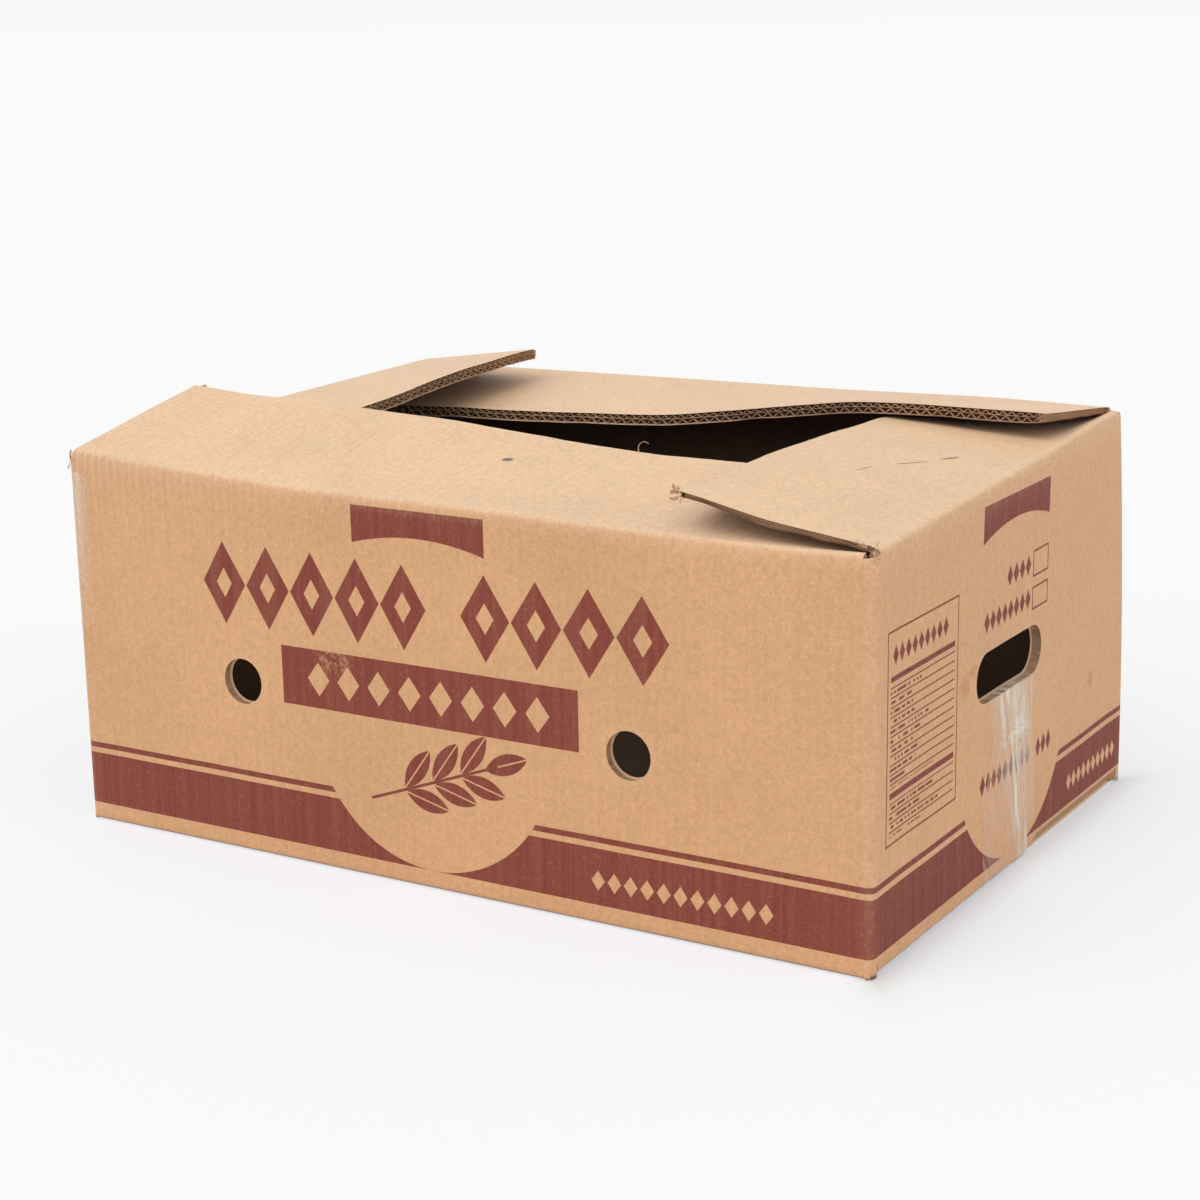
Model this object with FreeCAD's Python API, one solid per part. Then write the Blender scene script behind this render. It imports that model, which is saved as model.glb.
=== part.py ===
import FreeCAD, Part
import math
import os
from FreeCAD import Vector

# A used produce carton, folded from one sheet of double-wall corrugated board.
# X runs along its length, Y across it, Z up. The origin is on the floor, under its middle.
# All sizes are in millimetres.

# Carton, outside
length = 550.0
width = 388.0
height = 234.0          # floor to the crushed crease along the front
back_rise = 12.0        # the back crease stands this much higher than the front one

# Board: liner, large flute, liner, small flute, liner, from the inside out
liner = 0.5
large_flute = 3.2
large_pitch = 7.8
small_flute = 2.3
small_pitch = 6.1
board = 3 * liner + large_flute + small_flute
crush = 1.8             # what the board loses where it is folded
flute_wall = 0.8        # paper between two flute pockets
flute_depth = 7.0       # how far the pockets go in from a cut edge

# Folds
corner_radius = 5.0     # outside of the upright and bottom folds
crest_radius = 3.0      # outside of the top folds
score_step = 0.3        # the scored fold lies this far inside the wall's faces
score_depth = 12.0      # the score's band below the front crease
root_overlap = 2.0      # how far a flap's root runs down into its wall
fold_run = 14.0         # from a wall's face to where its flap runs straight
soft_length = 20.0      # where a flap has its full thickness again
ply_gap = 0.4           # between sheets that lie on each other
slot = 8.0              # cut between a flap and the corner it is tucked under

# Top flaps
flap_depth = 120.0
flap_gap = 1.0          # between two flaps where they cross
tuck_drop = 2.0         # how much lower a tucked flap's end lies

# Bottom flaps
seam_gap = 2.0          # between the two long flaps
long_flap_inset = 2.0   # from the end wall's face to the long flap's cut end
end_flap_depth = 193.0

# Glue lap inside the back left corner
lap_width = 35.0
lap_margin = 10.0       # from the lap's ends to the folds

# Vents in the long walls, as places along X and heights
vent_diameter = 28.5
vents = ((-144.0, 109.0), (127.0, 103.0))

# Hand holes in the end walls
hand_length = 99.0
hand_height = 30.0
hand_offset = -7.5      # along Y
hand_level = 129.0      # height of its middle

# Clear tape
film = 0.2
seam_tape_width = 64.0
seam_tape_offset = -5.0  # along Y
seam_tape_tuck = 14.0    # how far it turns down inside the hand hole
seam_tape_tail = 52.0    # how far it goes up the far end wall
patch_width = 30.0
patch_offset = 17.0      # along Y
patch_start = 8.0        # height of its lower end
patch_length = 92.0
corner_tape_front = 9.0
corner_tape_end = 38.0
corner_tape_base = 128.0
corner_tape_length = 88.0

# Each top flap has four or more stations along its crease, from left to right as it is
# seen from outside. A station is (place at the crease, place at the free edge, crest,
# height just past the fold, height at the free edge), all heights above the front crease.
# The left end of each flap lies over its neighbour and the right end is tucked under the
# next one, all the way round. None stands for a height that follows from the flap above.
half_length = length / 2
half_width = width / 2
cross = flap_depth      # where a neighbour's free edge crosses, from the corner
over = {
    "front": {"start": ((-half_length + 4, -half_length + 2), 7.0, 9.5, 31.0), "crossing": (2.5, 4.0, 26.0)},
    "right": {"start": ((-half_width + 7, -half_width + 7), 0.0, 1.5, 15.0), "crossing": (5.0, 6.5, 21.0)},
    "back": {"start": ((-half_length + 12, -half_length + 12), 15.0, 16.5, 28.0), "crossing": (14.0, 15.5, 27.0)},
    "left": {"start": ((-half_width + 5, -half_width + 33), 12.5, 14.0, 31.0), "crossing": (10.5, 12.0, 28.5)},
}
under = {
    "front": {"crossing": (-3.3, -2.0), "end": -2.0, "hang": 0.0},
    "right": {"crossing": (11.0, 11.5), "end": 14.0, "hang": 1.0},
    "back": {"crossing": (11.0, 10.0), "end": 9.5, "hang": 20.0},
    "left": {"crossing": (8.0, 8.0), "end": 1.0, "hang": 0.0},
}
bends = {"back": ((-73.0, 13.0, 13.5, 17.8), (33.0, 12.0, 12.0, 5.5))}
order = ("front", "right", "back", "left")
reach = {"front": half_length, "back": half_length, "right": half_width, "left": half_width}


def box(x0, x1, y0, y1, z0, z1):
    return Part.makeBox(x1 - x0, y1 - y0, z1 - z0, Vector(x0, y0, z0))


def face_of(points):
    return Part.Face(Part.makePolygon([Vector(*p) for p in points + points[:1]]))


def rounded_box(half_x, half_y, radius, z0, z1):
    solid = box(-half_x, half_x, -half_y, half_y, z0, z1)
    uprights = [e for e in solid.Edges if abs(e.tangentAt(e.FirstParameter).z) > 0.99]
    return solid.makeFillet(radius, uprights)


# Walls

bottom_join = 2 * board + ply_gap + corner_radius


def wall_top(y):
    return height - score_depth + back_rise * (y + half_width) / width


def walls():
    top = height + back_rise
    outer = rounded_box(half_length, half_width, corner_radius, bottom_join, top)
    inner = box(-half_length + board, half_length - board, -half_width + board, half_width - board, 0, top)
    ends = (-half_width - board, half_width + board)
    profile = [(-length, ends[0], wall_top(ends[0])), (-length, ends[1], wall_top(ends[1])),
               (-length, ends[1], 2 * top), (-length, ends[0], 2 * top)]
    above = face_of(profile).extrude(Vector(2 * length, 0, 0))
    return outer.cut(inner).cut(above)


# Bottom: each flap is an L in section, with a round fold on its outside


def fold_section(wall_face, sheet_end, level, at_x):
    """Section of a wall's foot and its flap, from the wall's outer face to the flap's end."""
    def point(across, z):
        return Vector(0, across, z) if not at_x else Vector(across, 0, z)
    side = math.copysign(1, wall_face)
    r = corner_radius
    mid = r * (1 - math.sqrt(0.5))
    start = point(wall_face, bottom_join)
    high = point(wall_face, level + r)
    low = point(wall_face - side * r, level)
    arc = Part.Arc(high, point(wall_face - side * mid, level + mid), low).toShape()
    rest = [low, point(sheet_end, level), point(sheet_end, level + board),
            point(wall_face - side * board, level + board), point(wall_face - side * board, bottom_join), start]
    wire = Part.Wire([Part.makeLine(start, high), arc] + Part.makePolygon(rest).Edges)
    return Part.Face(wire)


def long_bottom_flap(side):
    face = fold_section(side * half_width, side * seam_gap / 2, 0, False)
    run = length - 2 * long_flap_inset
    return face.translated(Vector(-run / 2, 0, 0)).extrude(Vector(run, 0, 0))


def end_bottom_flap(side):
    face = fold_section(side * half_length, side * (half_length - end_flap_depth), board + ply_gap, True)
    run = width - 2 * (board + ply_gap)
    return face.translated(Vector(0, -run / 2, 0)).extrude(Vector(0, run, 0))


# Top flaps


def stations(name):
    """Stations of one flap: (place at crease, place at edge, crest, bend place, bend height, edge height)."""
    above = order[(order.index(name) + 1) % 4]
    span = reach[name]
    places, crest, bend, edge = over[name]["start"]
    rows = [(places[0], places[1], crest, fold_run, bend, edge)]
    crest, bend, edge = over[name]["crossing"]
    rows.append((-span + cross, -span + cross, crest, fold_run, bend, edge))
    for place, crest, bend, edge in bends.get(name, ()):
        rows.append((place, place, crest, fold_run, bend, edge))
    crest, bend = under[name]["crossing"]
    edge = over[above]["crossing"][2] - board - flap_gap - under[name]["hang"]
    rows.append((span - cross, span - cross, crest, fold_run, bend, edge))
    crest = under[name]["end"]
    thin = board - crush + flap_gap
    bend = min(over[above]["start"][1] - thin, crest - crush)
    edge = over[above]["crossing"][0] - board - flap_gap - tuck_drop - under[name]["hang"] / 4
    rows.append((span - slot, span - slot, crest, board, bend, edge))
    return rows


def to_wall(name, along, inward, z):
    """A point given along the wall, inward from its face and up, turned to its place."""
    if name == "front":
        return Vector(along, -half_width + inward, z)
    if name == "right":
        return Vector(half_length - inward, along, z)
    if name == "back":
        return Vector(-along, half_width - inward, z)
    return Vector(-half_length + inward, -along, z)


def flap_section(name, row):
    crease_place, edge_place, crest, bend_place, bend, edge = row
    crest, bend, edge = height + crest, height + bend, height + edge
    outer = score_step
    inner = board - score_step
    r = crest_radius
    slope = (edge - bend) / (flap_depth - bend_place)

    def point(inward, z):
        along = crease_place + (edge_place - crease_place) * max(inward, 0) / flap_depth
        return to_wall(name, along, inward, z)

    def top(inward):
        return bend + slope * (inward - bend_place)

    foot = wall_top(to_wall(name, crease_place, 0, 0).y) - root_overlap
    neck = min(crest, bend + r) - board + crush
    mid = r * (1 - math.sqrt(0.5))
    start = point(outer, foot)
    high = point(outer, crest - r)
    arc = Part.Arc(high, point(outer + mid, crest - mid), point(outer + r, crest)).toShape()
    rest = [point(outer + r, crest), point(bend_place, bend), point(flap_depth, edge),
            point(flap_depth, edge - board), point(soft_length, top(soft_length) - board),
            point(inner, neck), point(inner, foot), start]
    return Part.Wire([Part.makeLine(start, high), arc] + Part.makePolygon(rest).Edges)


def free_edge(name, along):
    """Height and inward slope of a flap's free edge at a place along it."""
    rows = stations(name)
    for a, b in zip(rows, rows[1:]):
        if along <= b[1] or b is rows[-1]:
            share = (along - a[1]) / (b[1] - a[1])
            edge = height + a[5] + share * (b[5] - a[5])
            bend = height + a[4] + share * (b[4] - a[4])
            return edge, (edge - bend) / (flap_depth - a[3])


def flute_pockets(name):
    """Triangular pockets of both flute rows, pointing up and down by turns."""
    rows = stations(name)
    first, last = rows[0][1], rows[-1][1]
    pockets = []
    for pitch, tall, below in ((small_pitch, small_flute, liner),
                               (large_pitch, large_flute, 2 * liner + small_flute)):
        base = pitch / 2 - flute_wall
        along = first + pitch
        while along < last - pitch:
            edge, slope = free_edge(name, along)
            tip, foot = edge - below, edge - below - tall
            corners = [(along - base, foot), (along + base, foot), (along, tip)]
            outline = [to_wall(name, a, flap_depth + 1, z + slope) for a, z in corners]
            way = to_wall(name, 0, -flute_depth - 1, 0) - to_wall(name, 0, 0, 0)
            way.z = -(flute_depth + 1) * slope
            pockets.append(Part.Face(Part.makePolygon(outline + outline[:1])).extrude(way))
            along += pitch
    return pockets


def top_flap(name):
    sections = [flap_section(name, row) for row in stations(name)]
    panel = Part.makeLoft(sections, True, True)
    return panel.cut(Part.makeCompound(flute_pockets(name)))


# Openings in the walls


def round_hole(name, along, z, radius):
    start = to_wall(name, along, -board, z)
    return Part.makeCylinder(radius, 3 * board, start, to_wall(name, along, 0, z) - start)


def vent_holes():
    return [round_hole(name, along, z, vent_diameter / 2) for name in ("front", "back") for along, z in vents]


def hand_hole(name):
    r = hand_height / 2
    left, right = (hand_offset - hand_length / 2 + r, hand_offset + hand_length / 2 - r)
    corners = [to_wall(name, along, -board, hand_level + up) for along, up in
               ((left, -r), (right, -r), (right, r), (left, r))]
    way = to_wall(name, 0, 2 * board, 0) - to_wall(name, 0, -board, 0)
    middle = Part.Face(Part.makePolygon(corners + corners[:1])).extrude(way)
    return middle.fuse([round_hole(name, along, hand_level, r) for along in (left, right)])


def glue_lap():
    inside_x = -half_length + board
    inside_y = half_width - board
    return box(inside_x, inside_x + lap_width, inside_y - board, inside_y,
               bottom_join + lap_margin, wall_top(-half_width) - lap_margin)


def tape_bed():
    return box(-half_length, half_length, seam_tape_offset - seam_tape_width / 2,
               seam_tape_offset + seam_tape_width / 2, 0, film)


def carton():
    pieces = [long_bottom_flap(-1), long_bottom_flap(1), end_bottom_flap(-1), end_bottom_flap(1), glue_lap()]
    pieces += [top_flap(name) for name in order]
    body = walls().fuse(pieces).removeSplitter()
    return body.cut(vent_holes() + [hand_hole("right"), hand_hole("left"), tape_bed()])


# Tapes lie on the board, film thick


def band(path, y0, y1):
    """A film along a path of (x, z) points, laid on the outside of the way it runs."""
    outer = []
    for i, (x, z) in enumerate(path):
        before = path[max(i - 1, 0)]
        after = path[min(i + 1, len(path) - 1)]
        a = Vector(x - before[0], 0, z - before[1])
        b = Vector(after[0] - x, 0, after[1] - z)
        a = a.normalize() if a.Length else b.normalize()
        b = b.normalize() if b.Length else a
        normal_a, normal_b = Vector(-a.z, 0, a.x), Vector(-b.z, 0, b.x)
        mitre = (normal_a + normal_b) * (film / (1 + normal_a.dot(normal_b)))
        outer.append((x + mitre.x, z + mitre.z))
    outline = [(x, y0, z) for x, z in path + outer[::-1]]
    return face_of(outline).extrude(Vector(0, y1 - y0, 0))


def seam_tape():
    rim = hand_level - hand_height / 2
    foot = board + ply_gap + corner_radius
    cut = half_length - long_flap_inset
    turn = corner_radius * math.tan(math.pi / 8)
    bulge = corner_radius * (1 - math.sqrt(0.5))
    down = [(half_length, foot - turn), (half_length - bulge, foot - corner_radius + bulge),
            (cut, board), (cut, film)]
    up = [(-x, z) for x, z in down[::-1]]
    path = [(half_length - board, rim - seam_tape_tuck), (half_length - board, rim), (half_length, rim)]
    path += down + up + [(-half_length, seam_tape_tail)]
    return band(path, seam_tape_offset - seam_tape_width / 2, seam_tape_offset + seam_tape_width / 2)


def patch_tape():
    base = board + ply_gap + corner_radius + patch_start
    return box(half_length + film, half_length + 2 * film, patch_offset - patch_width / 2,
               patch_offset + patch_width / 2, base, base + patch_length)


def corner_tape():
    top = corner_tape_base + corner_tape_length
    outer = rounded_box(half_length + film, half_width + film, corner_radius + film, corner_tape_base, top)
    inner = rounded_box(half_length, half_width, corner_radius, corner_tape_base, top)
    window = box(-half_length - film, -half_length + corner_tape_front, -half_width - film,
                 -half_width + corner_tape_end, corner_tape_base, top)
    return outer.cut(inner).common(window)


nodes = {
    "carton": carton,
    "seam_tape": seam_tape,
    "patch_tape": patch_tape,
    "corner_tape": corner_tape,
}


def main():
    os.makedirs("parts", exist_ok=True)
    for name, make in nodes.items():
        shape = make()
        solids = shape.Solids
        print(name, "solids", len(solids), "valid", shape.isValid(), "volume cm3", round(shape.Volume / 1000, 2),
              "faces", len(shape.Faces), shape.BoundBox)
        shape = solids[0] if len(solids) == 1 else shape
        shape.exportStep("parts/" + name + ".step")


main()
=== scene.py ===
import math
import random
import bmesh
import bpy
import numpy as np
from mathutils import Matrix, Vector, noise


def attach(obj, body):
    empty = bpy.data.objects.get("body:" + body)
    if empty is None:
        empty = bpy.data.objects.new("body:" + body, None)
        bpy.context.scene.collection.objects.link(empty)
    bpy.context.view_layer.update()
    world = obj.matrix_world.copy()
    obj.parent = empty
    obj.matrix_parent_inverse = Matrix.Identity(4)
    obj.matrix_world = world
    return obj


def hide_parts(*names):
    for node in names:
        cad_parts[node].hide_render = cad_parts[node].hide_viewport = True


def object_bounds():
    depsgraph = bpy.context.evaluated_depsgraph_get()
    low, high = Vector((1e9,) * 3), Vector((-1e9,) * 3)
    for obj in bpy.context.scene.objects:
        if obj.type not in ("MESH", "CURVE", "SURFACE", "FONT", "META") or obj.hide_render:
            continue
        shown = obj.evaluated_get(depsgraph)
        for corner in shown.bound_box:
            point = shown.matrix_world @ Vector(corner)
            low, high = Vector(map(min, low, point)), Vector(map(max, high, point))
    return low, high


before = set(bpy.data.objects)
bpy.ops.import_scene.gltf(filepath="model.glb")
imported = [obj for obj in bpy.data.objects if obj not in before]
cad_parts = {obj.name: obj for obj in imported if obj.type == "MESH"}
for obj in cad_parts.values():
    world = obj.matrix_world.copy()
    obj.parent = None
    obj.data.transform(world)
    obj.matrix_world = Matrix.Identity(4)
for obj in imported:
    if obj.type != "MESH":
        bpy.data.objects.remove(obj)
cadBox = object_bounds()
mm = 0.001
chance = random.Random(11)


# The sheet, all in mm. Laid out flat, u runs round the carton from the back left corner, s runs up
# and d goes into the board. On one wall, a runs from its middle and w goes inwards from its face.

sheet = {
    "board": 7.0, "liner": 0.5, "smallFlute": 2.3, "largeFlute": 3.2, "smallPitch": 6.1, "largePitch": 7.8,
    "cell": 8.0, "holeCell": 2.5,        # mesh cells, and finer ones beside the holes
    "cornerRadius": 5.0, "crestRadius": 4.0, "footRadius": 3.5,
    "foldStart": 230.0,        # flat height where the top fold begins
    "height": 234.0,           # floor to the front crease
    "reach": 120.0,            # from a wall's face to its flap's free edge
    "bendPlace": 14.0, "bendSoft": 8.0,    # where a flap bends once more, past its crease
    "lift": 0.3, "plyGap": 0.4, "bottomReach": 193.0, "slit": 1.5,     # bottom flaps, their gaps and reach
    # the pressed inner side of the top fold
    "crush": 1.8, "innerSoft": 20.0, "innerTop": 210.0, "innerSlope": 0.9,
    "stretchFrom": 150.0,
    "dent": 0.9, "lean": (6.0, 5.0),       # soft hollows, and the back right corner's lean
    "pocket": 3.2, "holePocket": 1.2,      # how deep the cut edges open between the liners
    "cornerSag": 3.2,
    "ragged": 0.45, "squeeze": 0.28, "squeezeReach": 7.0,      # worn edges of the top flaps
}

# Each panel's half length, its flap's two ends, how far the flap's first side slants, and the
# heights over the front crease of its crease, of the flap past the fold and of its free edge
panels = {
    "left": {
        "half": 194.0, "end": True, "flap": (-189.0, 186.0), "slant": 28.0, "bottom": 186.0,
        "crest": ((-189, 12.5), (-74, 10.5), (74, 8.0), (150, 4.5), (186, 1.0)),
        "bend": ((-189, 14.0), (-74, 12.0), (74, 8.0), (186, -0.8)),
        "edge": ((-189, 30.5), (-125, 30.6), (-98, 29.6), (-66, 28.4), (-33, 26.3), (11, 22.0), (74, 18.2),
                 (186, -7.1)),
    },
    "front": {
        "half": 275.0, "end": False, "flap": (-271.0, 267.0), "slant": -2.0, "bottom": 271.0,
        "crest": ((-271, 7.4), (-207, 3.7), (-149, 1.5), (-93, -0.9), (34, -1.1), (99, -2.6), (160, -3.3),
                  (240, -3.3), (267, -2.0)),
        "bend": ((-271, 9.5), (-155, 4.0), (-76, 1.5), (155, -2.0), (267, -5.8)),
        "edge": ((-271, 30.5), (-224, 27.3), (-155, 26.2), (-76, 23.0), (11, 16.8), (73, 13.2), (136, 13.2),
                 (155, 13.0), (267, -4.6)),
    },
    "right": {
        "half": 194.0, "end": True, "flap": (-187.0, 186.0), "slant": 0.0, "bottom": 186.0, "crushed": 0.68,
        "sag": 6.9, "sagEnds": (24.0, 50.0), "curl": 4.2,      # a slipped foot and a curled flap tip
        "crest": ((-187, 0.0), (-165, 0.6), (-101, 3.4), (-30, 6.6), (47, 10.2), (131, 14.0), (186, 14.0)),
        "bend": ((-187, 1.5), (-74, 6.5), (74, 11.5), (186, 9.2)),
        "edge": ((-187, 15.0), (-110, 20.6), (-74, 21.2), (-42, 21.0), (40, 19.0), (74, 18.2), (186, 4.2)),
    },
    "back": {
        "half": 275.0, "end": False, "flap": (-267.0, 267.0), "slant": 4.0, "bottom": 271.0, "crushed": 0.6,
        "crest": ((-263, 15.0), (-184, 15.5), (-72, 12.8), (47, 12.0), (174, 10.8), (267, 9.5)),
        "bend": ((-263, 16.5), (-155, 15.5), (-73, 13.5), (33, 12.0), (155, 10.0), (267, 6.7)),
        "edge": ((-263, 28.0), (-179, 28.2), (-129, 26.0), (-73, 17.8), (-9, 8.5), (33, 5.5), (98, 2.6),
                 (155, 0.9), (267, -4.1)),
    },
}
order = list(panels)
start = 0.0
for panel in panels.values():
    panel["start"] = start
    start += 2 * panel["half"]
around = start
# Each hole's wall, place along it, level, half of its straight length, and radius
holes = [("front", -144.0, 109.0, 0.0, 14.25), ("front", 127.0, 103.0, 0.0, 14.25),
         ("back", -144.0, 109.0, 0.0, 14.25), ("back", 127.0, 103.0, 0.0, 14.25),
         ("right", -7.5, 129.0, 34.5, 15.0), ("left", -7.5, 129.0, 34.5, 15.0)]

board = sheet["board"]
topArc = sheet["crestRadius"] * math.pi / 2
footArc = sheet["footRadius"] * math.pi / 2
sheetTop = sheet["foldStart"] + topArc + sheet["reach"] - sheet["crestRadius"]


def levelOf(panel):
    return sheet["lift"] + (board + sheet["plyGap"] if panel["end"] else 0.0)


def footStart(panel):
    return levelOf(panel) + sheet["footRadius"]


def sheetFoot(panel):
    return footStart(panel) - footArc - sheet["bottomReach"] + sheet["footRadius"]


def panelName(u):
    return next((n for n in order if u <= panels[n]["start"] + 2 * panels[n]["half"]), order[-1])


def panelAt(u):
    panel = panels[panelName(u)]
    return panel, u - panel["start"] - panel["half"]


def smooth(x):
    x = min(max(x, 0.0), 1.0)
    return x * x * (3 - 2 * x)


def heightOf(panel, key, a):
    places, heights = zip(*panel[key])
    near = np.clip(a + np.linspace(-14, 14, 7), *panel["flap"])
    return float(np.interp(near, places, heights).mean())


def crestOf(panel, a):
    first, last = panel["flap"]
    if first <= a <= last:
        return heightOf(panel, "crest", a)
    i = order.index([n for n in order if panels[n] is panel][0])
    before, after = (panel, panels[order[(i + 1) % 4]]) if a > last else (panels[order[i - 1]], panel)
    run = before["half"] - before["flap"][1]
    gap = run + after["flap"][0] + after["half"]
    share = (a - last) / gap if a > last else (run + a + panel["half"]) / gap
    low, high = heightOf(before, "crest", before["flap"][1]), heightOf(after, "crest", after["flap"][0])
    return low + (high - low) * share


def toWall(panel, a, w, z):
    if panel is panels["front"]:
        return Vector((a, -panels["right"]["half"] + w, z))
    if panel is panels["right"]:
        return Vector((panels["front"]["half"] - w, a, z))
    if panel is panels["back"]:
        return Vector((-a, panels["right"]["half"] - w, z))
    return Vector((-panels["front"]["half"] + w, -a, z))


def flapHeight(panel, a, w):
    crest, bend, edge = (heightOf(panel, key, a) for key in ("crest", "bend", "edge"))
    r, place, soft = sheet["crestRadius"], sheet["bendPlace"], sheet["bendSoft"]
    first = (bend - crest) / (place - r)
    second = (edge - bend) / (sheet["reach"] - place)
    x = w - place
    ramp = 0.0 if x < -soft else x if x > soft else (x + soft) ** 2 / (4 * soft)
    wave = 0.5 * noise.noise(Vector((a / 45, w / 50, panel["start"]))) * smooth((w - 20) / 60)
    wave += panel.get("curl", 0.0) * smooth((w - 60) / 64) * smooth((panel["flap"][0] + 44 - a) / 44)
    return sheet["height"] + crest + first * (w - r) + (second - first) * ramp + wave


def roundCorner(panel, a, w):
    # the outer face of a wall, bent round the two corners beside it
    r = sheet["cornerRadius"]
    past = abs(a) - (panel["half"] - r)
    if past <= 0:
        return a, w
    turn = past / r * math.pi / 4
    return math.copysign(panel["half"] - r + r * math.sin(turn), a), w + r * (1 - math.cos(turn))


def squareCorner(panel, a, share):
    # the inner face of a wall, shortened towards its corners: low down by share, beside the flaps by the rest
    soft = sheet["innerSoft"]
    past = abs(a) - (panel["half"] - soft)
    if past <= 0:
        return a
    flapEnd = abs(panel["flap"][0] if a < 0 else panel["flap"][1])
    beside = abs(a)
    if beside > flapEnd:
        target = max(panel["half"] - board, flapEnd)
        beside = flapEnd + (beside - flapEnd) * (target - flapEnd) / (panel["half"] - flapEnd)
    return math.copysign((abs(a) - past * board / soft) * share + beside * (1 - share), a)


def sagAt(panel, a, s):
    # how far a wall's foot has slipped down over the flap under it
    if abs(a) > panel["bottom"] + 0.5:
        return sheet["cornerSag"] * smooth((34 - s) / 30)
    if "sag" not in panel:
        return 0.0
    low, high = panel["sagEnds"]
    past = s - footStart(panel)
    rise = smooth((22 - past) / 22) if past > -footArc else max(0.0, 1 + (past + footArc) / 4)
    rough = 0.9 + 0.1 * noise.noise(Vector((a / 13, 2.0, 0)))
    return panel["sag"] * rough * (1 - smooth((a - low) / (high - low))) * rise


def squeezeAt(panel, a, s):
    # how much thinner the board is at a flap's worn side edges
    if s < sheet["foldStart"] + topArc:
        return 0.0
    first, last = panel["flap"]
    near, side = min((a - first, panel.get("crushed", sheet["squeeze"])), (last - a, sheet["squeeze"]))
    wave = 0.85 + 0.3 * noise.noise(Vector((s / 16, side, panel["start"])))
    free = 0.16 * max(noise.noise(Vector((a / 26, 4.0, panel["start"]))), 0) * math.exp(-(sheetTop - s) / 5)
    return side * wave * math.exp(-max(near, 0) / sheet["squeezeReach"]) + free


def dentAt(panel, a, s):
    clear = min(panel["half"] - 6 - abs(a), s - 14, sheet["foldStart"] - 8 - s)
    wide = noise.noise(Vector((a / 70 + 9, s / 60, panel["start"])))
    small = noise.noise(Vector((a / 22, s / 25 + 5, panel["start"])))
    return sheet["dent"] * (0.5 + 0.5 * wide + 0.2 * small) * smooth(clear / 30)


def neckOf(panel, a, crest):
    # the height of the inner face under the top fold
    return min(crest, sheet["height"] + heightOf(panel, "bend", a) + 3) - board + sheet["crush"]


def foldSheet(u, s, d):
    # where a place of the flat sheet comes to lie on the folded carton
    panel, a = panelAt(u)
    share = d / board
    crest = sheet["height"] + crestOf(panel, a)
    r, foot, level = sheet["crestRadius"], footStart(panel), levelOf(panel)
    low = abs(a) <= panel["bottom"]
    q = s - sheet["foldStart"]
    innerA = squareCorner(panel, a, 1 - smooth((s - 190) / 40))
    dent = 0.0
    if q > 0:
        neck = neckOf(panel, a, crest)
        middle = topArc / 2
        if q <= topArc:
            w, z = r * (1 - math.cos(q / r)), crest - r + r * math.sin(q / r)
        else:
            w = r + q - topArc
            side = max(0.0, 1 - (a - panel["flap"][0]) / 60)
            z = flapHeight(panel, a, w)
            a += panel["slant"] * w / sheet["reach"] * side
        outerA, turned = roundCorner(panel, a, 0.0)
        innerA = squareCorner(panel, a, 0.0)
        w += turned
        share *= 1 - squeezeAt(panel, a, s)
        soft = sheet["innerSoft"]
        if q <= middle:
            innerW = board
            innerZ = neck - (middle - q) * sheet["innerSlope"]
        elif w < soft:
            start = r * (1 - math.cos(middle / r))
            innerW = board + (w - start) * (soft - board) / (soft - start)
            innerZ = neck + (flapHeight(panel, a, soft) - board - neck) * (innerW - board) / (soft - board)
        else:
            innerW, innerZ = w, z - board
    elif s < foot and low:
        q = foot - s
        r = sheet["footRadius"]
        w, z = r + q - footArc, level
        if q < footArc:
            w, z = r * (1 - math.cos(q / r)), foot - r * math.sin(q / r)
        start = r * (1 - math.cos(footArc / 2 / r))
        innerZ = level + board
        innerW = board
        if q > footArc / 2:
            innerW = board + (w - start) * (30 - board) / (30 - start) if w < 30 else w
        outerA = innerA = a
    else:
        stretch = crest - r - sheet["foldStart"]
        z = s + stretch * smooth((s - sheet["stretchFrom"]) / (sheet["foldStart"] - sheet["stretchFrom"]))
        outerA, w = roundCorner(panel, a, 0.0)
        dent = dentAt(panel, a, s)
        innerW, innerZ = board, z
        straight = sheet["innerTop"]
        if s > straight:
            end = neckOf(panel, a, crest) - topArc / 2 * sheet["innerSlope"]
            innerZ = straight + (s - straight) * (end - straight) / (sheet["foldStart"] - straight)
        if low and s < foot + 26:
            innerZ = level + board + (s - foot) * (foot + 26 - level - board) / 26
    outer = toWall(panel, outerA, w + dent, z)
    inner = toWall(panel, innerA, innerW + dent, innerZ)
    place = outer.lerp(inner, share)
    place.z -= sagAt(panel, a, s) * (1 - 0.5 * share)
    if place.x > 0 and place.y > 0:
        out = place.x / panels["front"]["half"], place.y / panels["right"]["half"], place.z / 245
        pull = out[0] ** 2 * out[1] ** 2 * out[2] ** 2
        place -= Vector((sheet["lean"][0] * pull, sheet["lean"][1] * pull, 0))
    return place * mm


def holeDistance(u, s):
    panel, a = panelAt(u)
    best = 1e3
    for name, place, level, straight, radius in holes:
        if panels[name] is panel:
            best = min(best, math.hypot(max(abs(a - place) - straight, 0), s - level) - radius)
    return best


def breaks(marks, cell):
    # marks in order, without near doubles, with the wide gaps between them divided
    marks = sorted(marks)
    kept = [marks[0]]
    for mark in marks[1:]:
        gap = mark - kept[-1]
        if gap < 0.3:
            continue
        parts = math.ceil(gap / cell - 1e-6)
        kept += [kept[-1] + gap * (k + 1) / parts for k in range(parts)]
    return kept


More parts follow.
